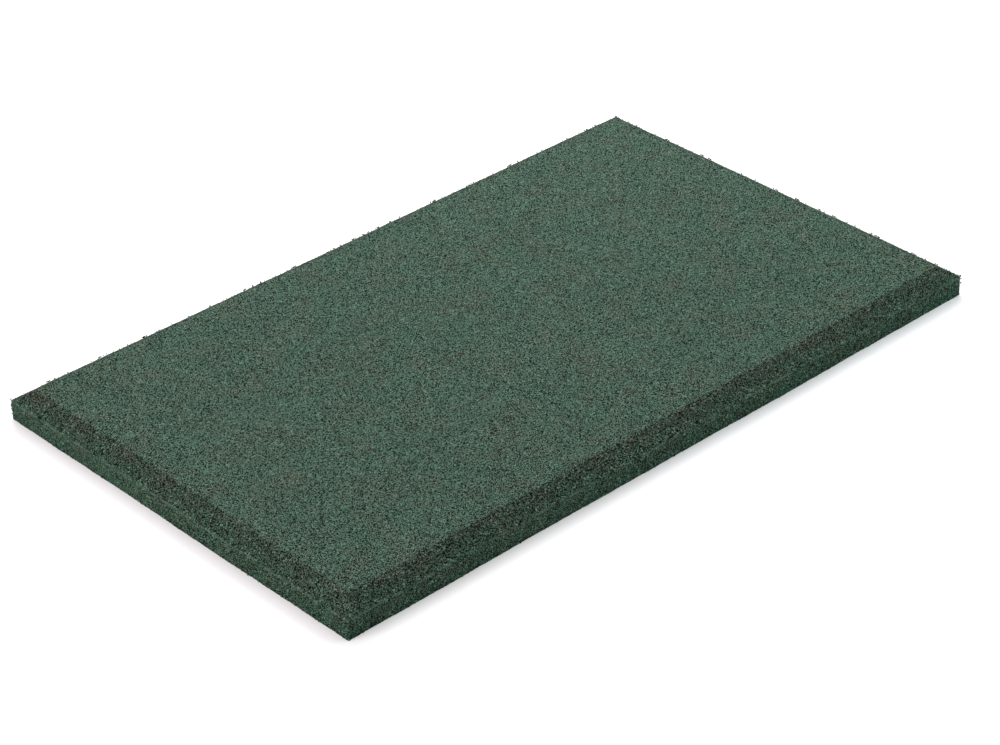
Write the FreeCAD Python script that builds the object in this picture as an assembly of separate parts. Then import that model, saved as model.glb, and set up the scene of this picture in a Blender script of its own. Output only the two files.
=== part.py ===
"""Bevelled rubber-granulate stand mat for a horse yard, in millimetres.

The mat is a rectangular slab of bonded rubber crumb, pressed in two lifts:

  base_layer  the lower lift, a plain slab with upright walls and a flat underside
  wear_layer  the upper lift, whose four sides lean in to the flat standing face

The lifts meet on one plane at the top of the upright walls, so the line between them runs round the
mat as the lower arris of the bevel. The origin is the middle of the underside, +X runs along the
long side, +Y along the short side and +Z up.
"""
import math
import os

import FreeCAD
import Part

# Driving dimensions
MAT_LENGTH = 1000.0
MAT_WIDTH = 600.0
MAT_HEIGHT = 40.0
WALL_HEIGHT = 25.0            # the upright part of each side, and the thickness of the base layer
BEVEL_RUN = 22.0              # how far each side leans in above the wall, measured on plan
UPRIGHT_CORNER_RADIUS = 3.0
TOP_CORNER_RADIUS = 2.0       # corners of the standing face, on plan
TOP_ARRIS_RADIUS = 2.0        # rounding between the standing face and the bevel

UP = FreeCAD.Vector(0.0, 0.0, 1.0)
QUARTER_TURN = math.pi / 2.0


def rounded_rectangle(length, width, radius, z):
    """A closed wire of four quarter arcs and the straight runs between them, centred on Z."""
    x = length / 2.0 - radius
    y = width / 2.0 - radius
    arcs = []
    for turns, (cx, cy) in enumerate([(x, y), (-x, y), (-x, -y), (x, -y)]):
        circle = Part.Circle(FreeCAD.Vector(cx, cy, z), UP, radius)
        arcs.append(Part.ArcOfCircle(circle, turns * QUARTER_TURN, (turns + 1) * QUARTER_TURN))
    edges = []
    for arc, following in zip(arcs, arcs[1:] + arcs[:1]):
        edges.append(arc.toShape())
        edges.append(Part.LineSegment(arc.EndPoint, following.StartPoint).toShape())
    return Part.Wire(edges)


def edges_at(shape, z):
    """The edges that lie wholly at height z."""
    found = []
    for edge in shape.Edges:
        box = edge.BoundBox
        if math.isclose(box.ZMin, z, abs_tol=1e-6) and math.isclose(box.ZMax, z, abs_tol=1e-6):
            found.append(edge)
    return found


def base_layer():
    """The lower lift: a slab with upright walls and slightly rounded upright corners."""
    outline = rounded_rectangle(MAT_LENGTH, MAT_WIDTH, UPRIGHT_CORNER_RADIUS, 0.0)
    return Part.Face(outline).extrude(UP * WALL_HEIGHT)


def wear_layer():
    """The upper lift: a low frustum standing on the base layer, with its top arris rounded."""
    foot = rounded_rectangle(MAT_LENGTH, MAT_WIDTH, UPRIGHT_CORNER_RADIUS, WALL_HEIGHT)
    top_length = MAT_LENGTH - 2.0 * BEVEL_RUN
    top_width = MAT_WIDTH - 2.0 * BEVEL_RUN
    top = rounded_rectangle(top_length, top_width, TOP_CORNER_RADIUS, MAT_HEIGHT)
    frustum = Part.makeLoft([foot, top], True, True)
    return frustum.makeFillet(TOP_ARRIS_RADIUS, edges_at(frustum, MAT_HEIGHT))


def export(shape, node):
    """Writes one node's STEP file, after testing that it is a single sound solid."""
    if not shape.isValid() or len(shape.Solids) != 1:
        raise ValueError(f"{node} isn't one valid solid")
    box = shape.BoundBox
    litres = shape.Volume / 1e6
    print(f"{node}: {box.XLength:.1f} x {box.YLength:.1f} x {box.ZLength:.1f} mm, {litres:.4f} litres")
    shape.Solids[0].exportStep(f"parts/{node}.step")


os.makedirs("parts", exist_ok=True)
export(base_layer(), "base_layer")
export(wear_layer(), "wear_layer")
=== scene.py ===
"""A bevelled mat of bonded rubber granulate, lying on a pale studio floor.

The CAD frame gives the mat's overall sizes. Two pieces replace its two smooth solids: the wear layer,
whose top and bevels are one relief of pressed grains, and the base layer with its upright walls. Two
more pieces are loose-edged crumbs on the edges, the bevels and the top. The same grain pattern shapes
the two reliefs and colours all four pieces.
"""
import math

import bmesh
import bpy
import numpy as np
from mathutils import Matrix, Vector


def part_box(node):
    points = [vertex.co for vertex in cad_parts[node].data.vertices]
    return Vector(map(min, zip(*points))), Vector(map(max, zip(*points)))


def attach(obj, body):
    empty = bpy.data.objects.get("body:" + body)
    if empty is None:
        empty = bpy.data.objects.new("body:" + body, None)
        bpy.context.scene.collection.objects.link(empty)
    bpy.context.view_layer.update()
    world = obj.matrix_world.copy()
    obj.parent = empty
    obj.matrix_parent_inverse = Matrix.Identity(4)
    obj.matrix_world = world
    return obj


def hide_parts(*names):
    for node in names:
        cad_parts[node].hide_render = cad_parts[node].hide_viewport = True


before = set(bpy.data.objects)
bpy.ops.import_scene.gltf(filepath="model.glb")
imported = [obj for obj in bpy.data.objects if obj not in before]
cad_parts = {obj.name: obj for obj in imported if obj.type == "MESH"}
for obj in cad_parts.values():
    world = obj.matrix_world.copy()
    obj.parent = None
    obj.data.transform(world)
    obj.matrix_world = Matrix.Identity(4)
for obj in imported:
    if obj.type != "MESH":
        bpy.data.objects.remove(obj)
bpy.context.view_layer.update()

MM = 0.001

# Places and sizes read from the frame
BODY = "root"
base_low, base_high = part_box("base_layer")
wear_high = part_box("wear_layer")[1]
HALF_LENGTH = wear_high.x
HALF_WIDTH = wear_high.y
FLOOR_Z = base_low.z
LIFT_Z = base_high.z           # where the two lifts meet, at the top of the walls
TOP_Z = wear_high.z


def flat_top_edge():
    """How far the CAD wear layer's level face reaches from the middle along X."""
    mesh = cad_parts["wear_layer"].data
    return max(v.co.x for v in mesh.vertices if v.co.z > TOP_Z - 0.01 * MM)


BEVEL_RUN = HALF_LENGTH - flat_top_edge()
BEVEL_RISE = TOP_Z - LIFT_Z

RANDOM = np.random.default_rng(20)

# Grains and relief
GRID_STEP = 1.0 * MM           # spacing of the relief's vertices
GRAIN_SIZE = 1.45 * MM         # mean width of the smaller rubber grains
GRAIN_TILT = 1.0               # how steeply grain faces lean, as a share of their height
RELIEF_DEPTH = 0.6 * MM        # from a grain's face to the bottom of the gap beside it
CORNER_RADIUS = 3.0 * MM       # upright corners, on plan
ARRIS_SOFTNESS = 2.2 * MM      # how gently the top runs over into the bevel
MITRE_SOFTNESS = 1.5 * MM      # how gently two bevels meet
EDGE_WAVER = 0.45 * MM         # how unevenly the edges run
WAVER_REACH = 25.0 * MM        # how far in from an edge its unside_contrast fades
WAVES = (                      # metres per radian, share of EDGE_WAVER, and how the phase is stretched
    (0.11, 1.0, 1.0),
    (0.043, 0.6, 2.3),
    (0.012, 0.35, 5.0),
    (0.005, 0.25, 7.0),
)
CAP_HALVINGS = 5               # how often the grid coarsens from an edge in to a hidden level face

# Grain pattern
BIG_GRAIN = 1.4                # width of the big grains in small ones
BIG_CHANCE = 0.8               # a big grain shows where its random value is above this
BIG_RIM = 0.06                 # how far in from its cell's edge a big grain starts
GRAIN_WARP = 0.35              # how far cells are bent, in small grains
MEAN_HEIGHT = 0.85             # grain height that stays on the CAD surface

# Granulate colours
CONTRAST = 4.0                 # from the darkest facet's shade to the palest one's, on the top; facets carry painted light, and the top's contrast above the sides' is painted relief shading from light grazing the top
DARKEST = 0.06                 # least shade, as a share of the tint
PALE = 3.5                     # shade of the few pale grains
PALE_CHANCE = (0.955, 0.965)   # a grain turns pale as its random value climbs between these
BROWN = (1.35, 0.9, 0.9, 1.0)  # what the tint is multiplied by in a brown patch
FLECK_SIZE = 0.6 * MM          # flecks inside a grain
DRIFT_SIZE = 14.0 * MM         # how far the side's tint and the painted highlight line stay alike
PATCH_SIZE = 45.0 * MM         # brown patches


# ---------------------------------------------------------------- node helpers

class Nodes:
    """Short calls for wiring one node tree, for materials and geometry alike."""

    def __init__(self, tree):
        self.tree = tree

    def add(self, kind, inputs=None, **settings):
        node = self.tree.nodes.new(kind)
        for name, value in settings.items():
            setattr(node, name, value)
        for name, value in (inputs or {}).items():
            self.put(node.inputs[name], value)
        return node

    def put(self, socket, value):
        if isinstance(value, bpy.types.NodeSocket):
            self.tree.links.new(value, socket)
        else:
            socket.default_value = value

    def math(self, operation, *values, clamp=False):
        node = self.add("ShaderNodeMath", operation=operation, use_clamp=clamp)
        for socket, value in zip(node.inputs, values):
            self.put(socket, value)
        return node.outputs[0]

    def vector(self, operation, *values, scale=None):
        node = self.add("ShaderNodeVectorMath", operation=operation)
        for socket, value in zip(node.inputs, values):
            self.put(socket, value)
        if scale is not None:
            self.put(node.inputs["Scale"], scale)
        return node.outputs["Value" if operation in ("DOT_PRODUCT", "LENGTH") else "Vector"]

    def attribute(self, name, output):
        return self.add("ShaderNodeAttribute", attribute_name=name).outputs[output]

    def remap(self, value, low, high, to_low=0.0, to_high=1.0, smooth=False):
        node = self.add("ShaderNodeMapRange", interpolation_type="SMOOTHSTEP" if smooth else "LINEAR")
        for name, item in (("Value", value), ("From Min", low), ("From Max", high),
                           ("To Min", to_low), ("To Max", to_high)):
            self.put(node.inputs[name], item)
        return node.outputs["Result"]

    def mix(self, factor, a, b, blend="MIX"):
        node = self.add("ShaderNodeMix", data_type="RGBA", blend_type=blend)
        self.put(node.inputs["Factor"], factor)
        self.put(node.inputs[6], a)
        self.put(node.inputs[7], b)
        return node.outputs[2]

    def blend(self, factor, a, b):
        kind = "FLOAT" if a.type == "VALUE" else "VECTOR"
        node = self.add("ShaderNodeMix", data_type=kind)
        first = 2 if kind == "FLOAT" else 4
        self.put(node.inputs[0], factor)
        self.put(node.inputs[first], a)
        self.put(node.inputs[first + 1], b)
        return node.outputs[0 if kind == "FLOAT" else 1]

    def separate(self, vector):
        return self.add("ShaderNodeSeparateXYZ", {"Vector": vector}).outputs

    def noise(self, place, scale, detail=2.0, roughness=0.5):
        inputs = {"Vector": place, "Scale": scale, "Detail": detail, "Roughness": roughness}
        return self.add("ShaderNodeTexNoise", inputs)

    def voronoi(self, place, scale, feature="F1"):
        inputs = {"Vector": place, "Scale": scale}
        return self.add("ShaderNodeTexVoronoi", inputs, feature=feature)


# ---------------------------------------------------------------- the grain pattern

def grains(n, place, size):
    """Angular cells of one size.

    Gives the height, the distance from the gap, the random values and the distance from the middle.
    """
    cell = n.voronoi(place, 1.0 / size)
    gap = n.voronoi(place, 1.0 / size, "DISTANCE_TO_EDGE").outputs["Distance"]
    chance = cell.outputs["Color"]
    lean = n.vector("SUBTRACT", chance, (0.5, 0.5, 0.5))
    from_middle = n.vector("SUBTRACT", place, cell.outputs["Position"])
    tilt = n.math("MULTIPLY", n.vector("DOT_PRODUCT", lean, from_middle), GRAIN_TILT / size)
    level = n.math("MULTIPLY_ADD", n.separate(chance)[0], 0.4, 0.55)
    return n.math("ADD", level, tilt), gap, chance, cell.outputs["Distance"]


def grain_pattern(n, place, size):
    """Large rubber grains in a mass of smaller ones, at a place in metres.

    Gives the height from 0 in a gap to about 1 on a face, how open the face is, three random values
    for each grain, and how pale a facet it shows, from 0 to 1: a random tone per grain plus painted
    light, paler at the grain's middle and shaded towards its edge.
    """
    bend = n.noise(place, 0.6 / size, detail=1.0).outputs["Color"]
    shift = n.vector("SUBTRACT", bend, (0.5, 0.5, 0.5))
    bent = n.vector("MULTIPLY_ADD", shift, (GRAIN_WARP * size,) * 3, place)
    big_height, big_gap, big_chance, big_reach = grains(n, bent, BIG_GRAIN * size)
    small_height, small_gap, small_chance, small_reach = grains(n, bent, size)
    is_big = n.math("GREATER_THAN", n.separate(big_chance)[2], BIG_CHANCE)
    is_big = n.math("MULTIPLY", is_big, n.math("GREATER_THAN", big_gap, BIG_RIM))
    height = n.blend(is_big, small_height, big_height)
    gap = n.blend(is_big, small_gap, n.math("SUBTRACT", big_gap, BIG_RIM))
    chance = n.separate(n.blend(is_big, small_chance, big_chance))
    face = n.remap(gap, 0.0, 0.2, smooth=True)
    reach = n.blend(is_big, small_reach, big_reach)
    # facet: the grain's random tone plus painted light, paler at its middle with painted shade towards
    # its edge
    inwards = n.math("MULTIPLY_ADD", chance[0], 0.3, n.math("MULTIPLY", reach, -1.0))
    facet = n.remap(inwards, -0.45, -0.2, smooth=True)
    return n.math("MULTIPLY", face, height), face, chance, facet


# ---------------------------------------------------------------- meshes

CELLS_X = 32 * round(2 * HALF_LENGTH / GRID_STEP / 32)
CELLS_Y = 32 * round(2 * HALF_WIDTH / GRID_STEP / 32)


def rounded_plan(x, y, inset=0.0):
    """Square-cornered plan coordinates, drawn in so that the outline's corners are arcs."""
    arc_x = np.abs(x) - (HALF_LENGTH - inset - CORNER_RADIUS)
    arc_y = np.abs(y) - (HALF_WIDTH - inset - CORNER_RADIUS)
    in_corner = (arc_x > 0) & (arc_y > 0)
    shrink = np.ones_like(x)
    longest = np.maximum(arc_x, arc_y)[in_corner]
    shrink[in_corner] = longest / np.hypot(arc_x[in_corner], arc_y[in_corner])
    new_x = np.where(in_corner, np.sign(x) * (np.abs(x) - arc_x * (1.0 - shrink)), x)
    new_y = np.where(in_corner, np.sign(y) * (np.abs(y) - arc_y * (1.0 - shrink)), y)
    return new_x, new_y


def waver(along, phase):
    """How far an edge strays from straight, at places along it."""
    waves = [share * np.sin(along / length + stretch * phase) for length, share, stretch in WAVES]
    return EDGE_WAVER * sum(waves)


def straight_grid(cells_x, cells_y, inset=0.0):
    """A grid over the mat's plan, as arrays of x and y with one row per step along Y."""
    along = np.linspace(-1.0, 1.0, cells_x + 1) * (HALF_LENGTH - inset)
    across = np.linspace(-1.0, 1.0, cells_y + 1) * (HALF_WIDTH - inset)
    return rounded_plan(*np.meshgrid(along, across), inset)


def uneven(x, y):
    """Plan coordinates moved out or in by the waver of the edges they are near."""
    near_end = np.exp(-(HALF_LENGTH - np.abs(x)) / WAVER_REACH)
    near_side = np.exp(-(HALF_WIDTH - np.abs(y)) / WAVER_REACH)
    return x + near_end * waver(y, 1.0 + np.sign(x)), y + near_side * waver(x, 4.0 + np.sign(y))


def plan_grid(cells_x, cells_y, inset=0.0):
    return uneven(*straight_grid(cells_x, cells_y, inset))


def outline_indices(cells_x, cells_y):
    """The grid's outline vertices, anticlockwise seen from above, as indices into the flat grid."""
    wide = cells_x + 1
    south = np.arange(cells_x)
    east = cells_x + wide * np.arange(cells_y)
    north = wide * cells_y + cells_x - np.arange(cells_x)
    west = wide * (cells_y - np.arange(cells_y))
    return np.concatenate([south, east, north, west])


def grid_faces(cells_x, cells_y, facing_up=True):
    wide = cells_x + 1
    column, row = np.meshgrid(np.arange(cells_x), np.arange(cells_y))
    first = (row * wide + column).ravel()
    quads = np.stack([first, first + 1, first + 1 + wide, first + wide], axis=1)
    return quads if facing_up else quads[:, ::-1]


def smooth_min(a, b, softness):
    """The lesser of a and b, with the crease between them rounded."""
    near = np.clip(0.5 + 0.5 * (b - a) / softness, 0.0, 1.0)
    return b + (a - b) * near - softness * near * (1.0 - near)


class Build:
    """Collects vertices, faces and per-vertex values for one mesh."""

    def __init__(self):
        self.places = []
        self.values = {"granule_place": [], "relief": [], "side": [], "arris_highlight": []}
        self.quads = []
        self.triangles = []
        self.count = 0

    def points(self, places, relief=(0.0, 0.0, 0.0), side=0.0, arris_highlight=0.0, granule=None):
        """Adds vertices. relief is the way and the share by which grains move each one.

        granule is the place that sets their shade, where it isn't their own.
        """
        total = len(places)
        first = self.count
        self.places.append(places)
        if granule is None:
            granule = places
        self.values["granule_place"].append(np.broadcast_to(granule, (total, 3)))
        self.values["relief"].append(np.broadcast_to(relief, (total, 3)))
        self.values["side"].append(np.broadcast_to(side, total))
        self.values["arris_highlight"].append(np.broadcast_to(arris_highlight, total))
        self.count += total
        return np.arange(first, self.count)

    def strip(self, lower, upper):
        """Quads between two closed loops of equal count, facing out where the loops run anticlockwise."""
        self.quads.append(np.stack([lower, np.roll(lower, -1), np.roll(upper, -1), upper], axis=1))

    def halve(self, fine, coarse, facing_up):
        """Triangles between a closed loop and an inner one with half as many vertices."""
        start, middle, end = fine[0::2], fine[1::2], np.roll(fine, -2)[0::2]
        following = np.roll(coarse, -1)
        for corners in ([start, middle, coarse], [middle, following, coarse], [middle, end, following]):
            triangle = np.stack(corners, axis=1)
            self.triangles.append(triangle if facing_up else triangle[:, ::-1])

    def cap(self, loop, z, halvings, facing_up, relief=(0.0, 0.0, 0.0)):
        """Closes a loop of the outline with coarser and coarser rings and then a level grid."""
        cells_x, cells_y = CELLS_X, CELLS_Y
        inset = 0.0
        for step in range(1, halvings + 1):
            cells_x //= 2
            cells_y //= 2
            inset += HALF_LENGTH / cells_x
            x, y = plan_grid(cells_x, cells_y, inset)
            ring = outline_indices(cells_x, cells_y)
            flat = np.stack([x.ravel(), y.ravel(), np.full(x.size, z)], axis=1)
            if step == halvings:
                added = self.points(flat, relief)
                self.quads.append(added[grid_faces(cells_x, cells_y, facing_up)])
                inner = added[ring]
            else:
                inner = self.points(flat[ring], relief)
            self.halve(loop, inner, facing_up)
            loop = inner

    def piece(self, name):
        mesh = bpy.data.meshes.new(name)
        places = np.concatenate(self.places).astype(np.float32)
        quads = np.concatenate(self.quads) if self.quads else np.zeros((0, 4), int)
        triangles = np.concatenate(self.triangles) if self.triangles else np.zeros((0, 3), int)
        corners = np.concatenate([quads.ravel(), triangles.ravel()]).astype(np.int32)
        sizes = np.concatenate([np.full(len(quads), 4), np.full(len(triangles), 3)])
        starts = np.concatenate([[0], np.cumsum(sizes)[:-1]]).astype(np.int32)
        mesh.vertices.add(len(places))
        mesh.vertices.foreach_set("co", places.ravel())
        mesh.loops.add(len(corners))
        mesh.loops.foreach_set("vertex_index", corners)
        mesh.polygons.add(len(sizes))
        mesh.polygons.foreach_set("loop_start", starts)
        mesh.update(calc_edges=True)
        for attribute, parts in self.values.items():
            data = np.concatenate(parts).astype(np.float32)
            is_vector = data.ndim == 2
            layer = mesh.attributes.new(attribute, "FLOAT_VECTOR" if is_vector else "FLOAT", "POINT")
            layer.data.foreach_set("vector" if is_vector else "value", data.ravel())
        mesh.shade_smooth()
        piece = bpy.data.objects.new(name, mesh)
        bpy.context.scene.collection.objects.link(piece)
        return piece


def press_grains(piece, size, depth):
    """Moves every vertex along its relief direction by the grain pattern, and keeps the result."""
    tree = bpy.data.node_groups.new(piece.name + "_relief", "GeometryNodeTree")
    for way in ("INPUT", "OUTPUT"):
        tree.interface.new_socket("Geometry", in_out=way, socket_type="NodeSocketGeometry")
    n = Nodes(tree)
    fields = []
    for name in ("granule_place", "relief"):
        field = n.add("GeometryNodeInputNamedAttribute", {"Name": name}, data_type="FLOAT_VECTOR")
        fields.append(field.outputs["Attribute"])
    place, direction = fields
    height = grain_pattern(n, place, size)[0]
    amount = n.math("MULTIPLY", n.math("SUBTRACT", height, MEAN_HEIGHT), depth)
    geometry = n.add("NodeGroupInput").outputs[0]
    offset = n.vector("SCALE", direction, scale=amount)
    moved = n.add("GeometryNodeSetPosition", {"Geometry": geometry, "Offset": offset})
    n.put(n.add("NodeGroupOutput").inputs[0], moved.outputs["Geometry"])
    modifier = piece.modifiers.new("relief", "NODES")
    modifier.node_group = tree
    depsgraph = bpy.context.evaluated_depsgraph_get()
    pressed = bpy.data.meshes.new_from_object(piece.evaluated_get(depsgraph))
    piece.modifiers.clear()
    piece.data = pressed
    bpy.data.node_groups.remove(tree)
    stand_on_floor(pressed)


def stand_on_floor(mesh):
    """Flattens whatever dips below the floor."""
    places = np.empty(3 * len(mesh.vertices), np.float32)
    mesh.vertices.foreach_get("co", places)
    places[2::3] = np.maximum(places[2::3], FLOOR_Z)
    mesh.vertices.foreach_set("co", places)
    mesh.update()


def outline_normals(x, y):
    """Level outward directions at the outline's vertices."""
    arc_x = np.maximum(np.abs(x) - (HALF_LENGTH - CORNER_RADIUS), 0.0) * np.sign(x)
    arc_y = np.maximum(np.abs(y) - (HALF_WIDTH - CORNER_RADIUS), 0.0) * np.sign(y)
    length = np.maximum(np.hypot(arc_x, arc_y), 1e-9)
    return np.stack([arc_x / length, arc_y / length, np.zeros_like(x)], axis=1)


def rim_directions(x, y):
    """Out and up at the lift line, halfway between the wall's and the bevel's directions."""
    directions = outline_normals(x, y)
    slope = math.atan2(BEVEL_RISE, BEVEL_RUN)
    bevel_out, bevel_up = math.sin(slope), math.cos(slope)
    directions = directions * (1.0 + bevel_out) + np.array([0.0, 0.0, bevel_up])
    return directions / np.linalg.norm(directions, axis=1, keepdims=True)


def wear_layer():
    build = Build()
    x, y = straight_grid(CELLS_X, CELLS_Y)
    slope = BEVEL_RISE / BEVEL_RUN
    climb = LIFT_Z + slope * smooth_min(HALF_LENGTH - np.abs(x), HALF_WIDTH - np.abs(y), MITRE_SOFTNESS)
    z = smooth_min(climb, np.full_like(x, TOP_Z), ARRIS_SOFTNESS * slope)
    x, y = uneven(x, y)
    outline = outline_indices(CELLS_X, CELLS_Y)
    z.ravel()[outline] = LIFT_Z
    dz_dy, dz_dx = np.gradient(z, 2 * HALF_WIDTH / CELLS_Y, 2 * HALF_LENGTH / CELLS_X)
    normals = np.stack([-dz_dx.ravel(), -dz_dy.ravel(), np.ones(x.size)], axis=1)
    normals /= np.linalg.norm(normals, axis=1, keepdims=True)
    normals[outline] = rim_directions(x.ravel()[outline], y.ravel()[outline])
    side = np.clip((TOP_Z - z) / (0.6 * MM), 0.0, 1.0).ravel()
    # share of painted highlight: a pale line along the arris at the lift line, fading out 1.2 mm above it
    arris_highlight = np.clip(1.0 - (z.ravel() - LIFT_Z) / (1.2 * MM), 0.0, 1.0)
    places = np.stack([x.ravel(), y.ravel(), z.ravel()], axis=1)
    top = build.points(places, normals, side, arris_highlight)
    build.quads.append(top[grid_faces(CELLS_X, CELLS_Y)])
    build.cap(top[outline], LIFT_Z, CAP_HALVINGS, facing_up=False)
    return build.piece("wear_granulate_relief")


def base_layer():
    build = Build()
    x, y = plan_grid(CELLS_X, CELLS_Y)
    outline = outline_indices(CELLS_X, CELLS_Y)
    x, y = x.ravel()[outline], y.ravel()[outline]
    outward = outline_normals(x, y)
    rows = round((LIFT_Z - FLOOR_Z) / GRID_STEP)
    loops = []
    for row in range(rows + 1):
        z = FLOOR_Z + (LIFT_Z - FLOOR_Z) * row / rows
        places = np.stack([x, y, np.full_like(x, z)], axis=1)
        directions = rim_directions(x, y) if row == rows else outward
        # share of painted highlight: a pale line along the arris at the lift line, fading out 1.5 mm
        # below it
        arris_highlight = max(0.0, 1.0 - (LIFT_Z - z) / (1.5 * MM))
        loops.append(build.points(places, directions, side=1.0, arris_highlight=arris_highlight))
    for lower, upper in zip(loops, loops[1:]):
        build.strip(lower, upper)
    build.cap(loops[-1], LIFT_Z, CAP_HALVINGS, facing_up=True)
    build.cap(loops[0], FLOOR_Z, 1, facing_up=False, relief=(0.0, 0.0, -1.0))
    return build.piece("base_granulate_relief")


# ---------------------------------------------------------------- loose-edged crumbs

CRUMB_SHAPES = 12              # different crumb forms in each piece
CRUMB_CORNERS = 9              # random points whose hull is one crumb
CORNER_CRUMBS = 24
BEVEL_CRUMBS = 1300
FLASH_CRUMBS = 300
TOP_CRUMBS = 500
FLASH_WAVES = ((5.3, 0.0), (3.1, 1.0), (11.7, 2.0))    # outline steps per radian, and phase
FLASH_LEVEL = 1.1              # the flash is clumped where its waves add up to more
FLASH_GAP_SHARE = 0.12         # how likely a flash crumb is between clumps, next to inside one


def crumb_shapes(count):
    """Angular granules about 1 across: each is the convex hull of a few random points."""
    shapes = []
    for _ in range(count):
        hull = bmesh.new()
        for point in RANDOM.normal(size=(CRUMB_CORNERS, 3)):
            hull.verts.new(0.5 * point / np.linalg.norm(point))
        bmesh.ops.convex_hull(hull, input=hull.verts)
        bmesh.ops.triangulate(hull, faces=hull.faces)
        hull.verts.index_update()
        places = np.array([vertex.co for vertex in hull.verts])
        faces = np.array([[vertex.index for vertex in face.verts] for face in hull.faces])
        hull.free()
        shapes.append((places, faces))
    return shapes


def random_turns(count):
    """Rotation matrices, one per crumb."""
    turns, _ = np.linalg.qr(RANDOM.normal(size=(count, 3, 3)))
    turns[:, :, 0] *= np.sign(np.linalg.det(turns))[:, None]
    return turns


def along_outline(z, spacing, least, greatest, proud):
    """Middles and sizes of crumbs set along the outline at about one height."""
    x, y = plan_grid(CELLS_X, CELLS_Y)
    outline = outline_indices(CELLS_X, CELLS_Y)
    x, y = x.ravel()[outline], y.ravel()[outline]
    total = round(4.0 * (HALF_LENGTH + HALF_WIDTH) / spacing)
    chosen = RANDOM.choice(len(outline), total, replace=False)
    middles = np.stack([x, y, np.full_like(x, z)], axis=1)[chosen]
    sizes = least + (greatest - least) * RANDOM.random(total) ** 2
    sunk = RANDOM.uniform(proud - 0.5, proud, total) * sizes
    middles += outline_normals(x, y)[chosen] * sunk[:, None]
    middles[:, 2] += RANDOM.uniform(-0.4, 0.4, total) * sizes
    return middles, sizes


def along_corners():
    """Middles and sizes of crumbs up the four upright corners."""
    inset = CORNER_RADIUS - 0.71 * CORNER_RADIUS
    signs = RANDOM.choice([-1.0, 1.0], size=(CORNER_CRUMBS, 2))
    x = signs[:, 0] * (HALF_LENGTH - inset)
    y = signs[:, 1] * (HALF_WIDTH - inset)
    middles = np.column_stack([x, y, RANDOM.uniform(FLOOR_Z, LIFT_Z, CORNER_CRUMBS)])
    return middles, RANDOM.uniform(1.2, 2.4, CORNER_CRUMBS) * MM


def over_bevels():
    """Middles and sizes of crumbs on the bevels, most of them near the top arris."""
    total = BEVEL_CRUMBS
    ends = RANDOM.random(total) < HALF_WIDTH / (HALF_LENGTH + HALF_WIDTH)
    inset = BEVEL_RUN * (1.0 - 0.9 * RANDOM.random(total) ** 1.5)
    sign = RANDOM.choice([-1.0, 1.0], total)
    across = sign * (np.where(ends, HALF_LENGTH, HALF_WIDTH) - inset)
    along = RANDOM.uniform(-1.0, 1.0, total) * (np.where(ends, HALF_WIDTH, HALF_LENGTH) - inset)
    sizes = RANDOM.uniform(1.0, 1.9, total) * MM
    clumped = np.sin(along / 0.009 + 3.0 * sign) + np.sin(along / 0.023 + sign) > 0.8
    sizes = np.where(clumped, 1.35 * sizes, sizes)
    height = LIFT_Z + BEVEL_RISE * inset / BEVEL_RUN - 0.2 * MM
    x = np.where(ends, across, along)
    y = np.where(ends, along, across)
    return np.column_stack([x, y, height]), sizes


def flash():
    """Middles and sizes of the torn crumbs clumped along the top of the walls at +X and +Y."""
    x, y = plan_grid(CELLS_X, CELLS_Y)
    outline = outline_indices(CELLS_X, CELLS_Y)[CELLS_X:2 * CELLS_X + CELLS_Y]
    step = np.arange(len(outline))
    clumped = sum(np.sin(step / length + phase) for length, phase in FLASH_WAVES) > FLASH_LEVEL
    weights = np.where(clumped, 1.0, FLASH_GAP_SHARE)
    chosen = outline[RANDOM.choice(len(outline), FLASH_CRUMBS, p=weights / weights.sum())]
    sizes = RANDOM.uniform(1.2, 2.8, FLASH_CRUMBS) * MM
    x, y = x.ravel()[chosen], y.ravel()[chosen]
    middles = np.column_stack([x, y, LIFT_Z + 0.35 * sizes])
    middles += outline_normals(x, y) * 0.1 * sizes[:, None]
    return middles, sizes


def over_top():
    """Middles and sizes of crumbs standing a little proud of the level face."""
    x = RANDOM.uniform(-1.0, 1.0, TOP_CRUMBS) * (HALF_LENGTH - BEVEL_RUN)
    y = RANDOM.uniform(-1.0, 1.0, TOP_CRUMBS) * (HALF_WIDTH - BEVEL_RUN)
    middles = np.column_stack([x, y, np.full(TOP_CRUMBS, TOP_Z - 0.4 * MM)])
    return middles, RANDOM.uniform(1.0, 1.9, TOP_CRUMBS) * MM


def crumbs(name, groups):
    """One piece holding every crumb of some groups of middles and sizes."""
    shapes = crumb_shapes(CRUMB_SHAPES)
    build = Build()
    for middles, sizes in groups:
        turns = random_turns(len(middles))
        kinds = RANDOM.integers(len(shapes), size=len(middles))
        for middle, size, turn, kind in zip(middles, sizes, turns, kinds):
            places, faces = shapes[kind]
            places = middle + (places * size) @ turn.T
            places[:, 2] += max(0.0, FLOOR_Z - places[:, 2].min())
            added = build.points(places, side=1.0, granule=middle)
            build.triangles.append(added[faces])
    return build.piece(name)


# ---------------------------------------------------------------- materials

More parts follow.
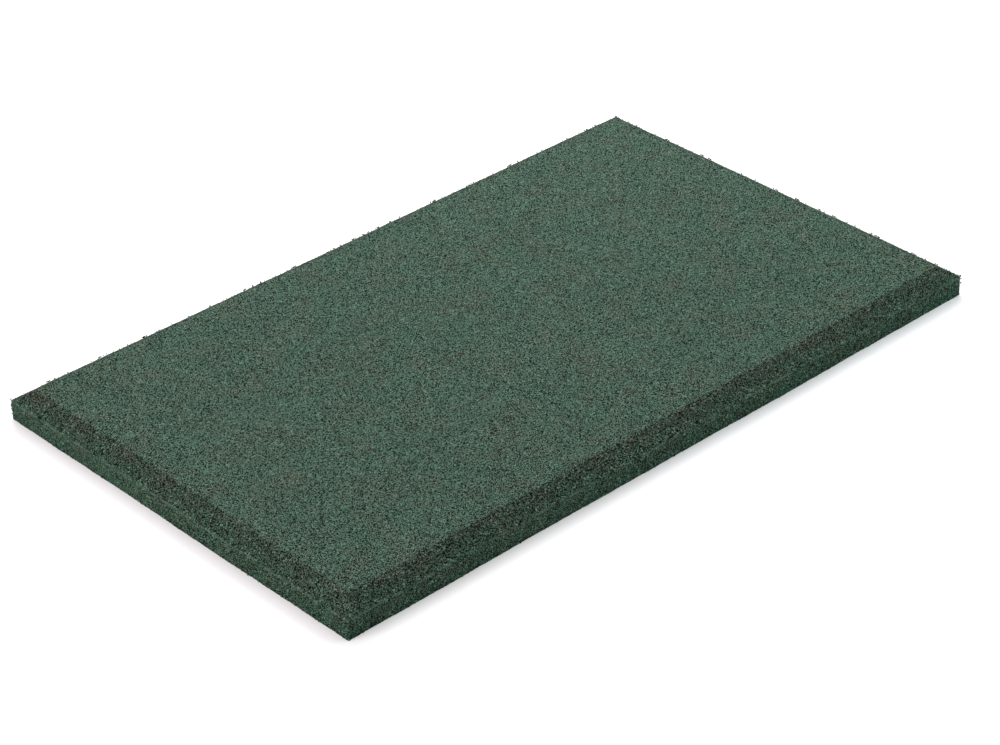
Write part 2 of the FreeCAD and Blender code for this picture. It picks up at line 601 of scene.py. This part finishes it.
def granulate(name, size, flat_tint, high_tint, low_tint, low_z, high_z, side_contrast, bump):
    """Bonded rubber crumb: every grain is light or dark, partly by its own tone and partly by painted
    light on its facet, and painted shade makes the gaps between grains darker still.

    flat_tint is for the level top; high_tint and low_tint are for a side, from high_z down to low_z.
    side_contrast is a side's contrast as a share of the top's.
    """
    material = bpy.data.materials.new(name)
    material.use_nodes = True
    n = Nodes(material.node_tree)
    shader = material.node_tree.nodes["Principled BSDF"]
    place = n.attribute("granule_place", "Vector")
    side = n.attribute("side", "Fac")
    arris_highlight = n.attribute("arris_highlight", "Fac")
    height, face, chance, facet = grain_pattern(n, place, size)
    fleck = n.noise(place, 1.0 / FLECK_SIZE, detail=2.0).outputs["Fac"]

    drift = n.noise(place, 1.0 / DRIFT_SIZE, detail=3.0).outputs["Fac"]
    climb = n.remap(n.separate(place)[2], low_z, high_z)
    climb = n.math("ADD", climb, n.remap(drift, 0.3, 0.7, -0.35, 0.35), clamp=True)
    side_tint = n.mix(climb, (*low_tint, 1.0), (*high_tint, 1.0))
    tint = n.mix(side, (*flat_tint, 1.0), side_tint)
    brown = n.mix(1.0, tint, BROWN, "MULTIPLY")
    patch = n.noise(place, 1.0 / PATCH_SIZE, detail=4.0, roughness=0.7).outputs["Fac"]
    by_grain = n.remap(chance[1], 0.0, 1.0, -0.4, 0.7)
    tint = n.mix(n.math("ADD", n.remap(patch, 0.4, 0.65, -0.3, 0.5), by_grain, clamp=True), tint, brown)

    # the top's contrast, above the sides', is painted shading of grain relief under light that grazes the
    # top
    contrast = n.math("MULTIPLY", n.remap(side, 0.0, 1.0, 1.0, side_contrast), CONTRAST)
    shade = n.math("MULTIPLY_ADD", n.math("SUBTRACT", facet, 0.5), contrast, 1.0)
    shade = n.math("MAXIMUM", shade, DARKEST)
    shade = n.math("MULTIPLY", shade, n.remap(fleck, 0.3, 0.7, 0.7, 1.3))
    # painted shade in the gaps between grains
    shade = n.math("MULTIPLY", shade, n.remap(face, 0.0, 1.0, 0.4, 1.2))
    colour = n.vector("SCALE", tint, scale=shade)
    pale = n.vector("SCALE", tint, scale=PALE)
    colour = n.mix(n.remap(chance[2], *PALE_CHANCE), colour, pale)
    # painted highlight: a broken pale line along the arris where the two lifts meet
    arris_highlight_share = n.math("MULTIPLY", arris_highlight, n.remap(drift, 0.4, 0.6, 0.0, 0.7))
    colour = n.mix(arris_highlight_share, colour, pale)

    n.put(shader.inputs["Base Color"], colour)
    n.put(shader.inputs["Specular IOR Level"], 0.12)
    n.put(shader.inputs["Roughness"], n.remap(fleck, 0.3, 0.7, 0.7, 0.95))
    relief = n.math("MULTIPLY_ADD", fleck, 0.3, height)
    rough = n.add("ShaderNodeBump", {"Height": relief, "Strength": bump, "Distance": RELIEF_DEPTH})
    n.put(shader.inputs["Normal"], rough.outputs["Normal"])
    return material


def wear_material():
    return granulate("wear_granulate", GRAIN_SIZE, flat_tint=(0.029, 0.0545, 0.040),
                     high_tint=(0.030, 0.047, 0.035), low_tint=(0.026, 0.053, 0.037),
                     low_z=LIFT_Z, high_z=TOP_Z, side_contrast=0.53, bump=0.6)


def base_material():
    return granulate("base_granulate", GRAIN_SIZE, flat_tint=(0.032, 0.058, 0.041),
                     high_tint=(0.028, 0.054, 0.037), low_tint=(0.020, 0.052, 0.033),
                     low_z=FLOOR_Z, high_z=LIFT_Z, side_contrast=0.53, bump=0.35)


def floor_material():
    material = bpy.data.materials.new("white_studio_floor")
    material.use_nodes = True
    shader = material.node_tree.nodes["Principled BSDF"]
    shader.inputs["Base Color"].default_value = (0.93, 0.93, 0.94, 1.0)
    shader.inputs["Roughness"].default_value = 0.15
    return material


# ---------------------------------------------------------------- the studio

WHITE = (1.0, 1.0, 1.0)
WARM_WHITE = (1.0, 0.89, 0.88)
GREENISH_WHITE = (0.82, 1.0, 0.94)
LAMPS = (                      # name, bearing, elevation, distance, size, watts, colour
    ("back_softbox", 80.0, 25.0, 2.6, 1.8, 23.0, WHITE),
    ("high_back_softbox", 90.0, 50.0, 1.5, 1.0, 4.0, WHITE),
    ("high_right_softbox", 30.0, 50.0, 1.5, 1.0, 11.0, WHITE),
    ("left_softbox", 180.0, 25.0, 2.6, 1.8, 45.0, WARM_WHITE),
    ("front_right_softbox", 330.0, 25.0, 2.6, 1.8, 25.0, GREENISH_WHITE),
)


def studio():
    side = 14.0
    mesh = bpy.data.meshes.new("studio_floor")
    corners = [(x * side, y * side, FLOOR_Z) for x, y in ((-1, -1), (1, -1), (1, 1), (-1, 1))]
    mesh.from_pydata(corners, [], [(0, 1, 2, 3)])
    mesh.materials.append(floor_material())
    floor = bpy.data.objects.new("studio_floor", mesh)
    bpy.context.scene.collection.objects.link(floor)

    world = bpy.data.worlds.new("studio_air")
    world.use_nodes = True
    air = world.node_tree.nodes["Background"]
    air.inputs["Color"].default_value = (0.985, 0.975, 1.0, 1.0)
    air.inputs["Strength"].default_value = 0.75
    bpy.context.scene.world = world

    for lamp in LAMPS:
        softbox(*lamp)


def softbox(name, bearing, elevation, distance, size, watts, colour):
    """A square light facing the middle of the mat. Its bearing runs anticlockwise from +X, in degrees."""
    bearing, elevation = math.radians(bearing), math.radians(elevation)
    level = math.cos(elevation)
    towards = Vector((math.cos(bearing) * level, math.sin(bearing) * level, math.sin(elevation)))
    light = bpy.data.lights.new(name, "AREA")
    light.size = size
    light.energy = watts
    light.color = colour
    lamp = bpy.data.objects.new(name, light)
    lamp.location = towards * distance
    lamp.visible_camera = False
    lamp.visible_glossy = False
    lamp.rotation_euler = (-towards).to_track_quat("-Z", "Y").to_euler()
    bpy.context.scene.collection.objects.link(lamp)


def camera():
    """A long lens at the height of a standing viewer, a corner of the mat towards it."""
    azimuth = math.radians(-42.68)
    elevation = math.radians(32.39)
    roll = math.radians(-1.2)
    aim = Vector((-0.048, -0.053, 0.02))
    distance = 3.659
    forward = Vector((-math.sin(azimuth) * math.cos(elevation), math.cos(azimuth) * math.cos(elevation),
                      -math.sin(elevation)))
    level = forward.cross(Vector((0.0, 0.0, 1.0))).normalized()
    upright = level.cross(forward)
    right = level * math.cos(roll) + upright * math.sin(roll)
    up = upright * math.cos(roll) - level * math.sin(roll)
    data = bpy.data.cameras.new("view_camera")
    data.lens = 111.8
    data.sensor_width = 36.0
    data.clip_end = 100.0
    eye = bpy.data.objects.new("view_camera", data)
    turn = Matrix((right, up, -forward)).transposed()
    eye.matrix_world = Matrix.Translation(aim - forward * distance) @ turn.to_4x4()
    bpy.context.scene.collection.objects.link(eye)
    bpy.context.scene.camera = eye
    bpy.context.scene.view_settings.view_transform = "Standard"


# ---------------------------------------------------------------- the object

camera()
studio()

wear = wear_layer()
press_grains(wear, GRAIN_SIZE, RELIEF_DEPTH)
wear.data.materials.append(wear_material())
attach(wear, BODY)
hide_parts("wear_layer")

base = base_layer()
press_grains(base, GRAIN_SIZE, RELIEF_DEPTH)
base.data.materials.append(base_material())
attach(base, BODY)
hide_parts("base_layer")

base_crumbs = crumbs("base_edge_crumbs", [
    along_outline(FLOOR_Z + 0.5 * MM, 4.5 * MM, 1.0 * MM, 3.0 * MM, proud=0.15),
    along_outline(0.5 * (FLOOR_Z + LIFT_Z), 12.0 * MM, 0.8 * MM, 1.6 * MM, proud=0.0),
    along_corners(),
])
base_crumbs.data.materials.append(base.data.materials[0])
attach(base_crumbs, BODY)

wear_crumbs = crumbs("wear_edge_crumbs", [
    along_outline(LIFT_Z, 6.0 * MM, 0.8 * MM, 1.8 * MM, proud=0.05),
    over_bevels(),
    flash(),
    over_top(),
])
wear_crumbs.data.materials.append(wear.data.materials[0])
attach(wear_crumbs, BODY)
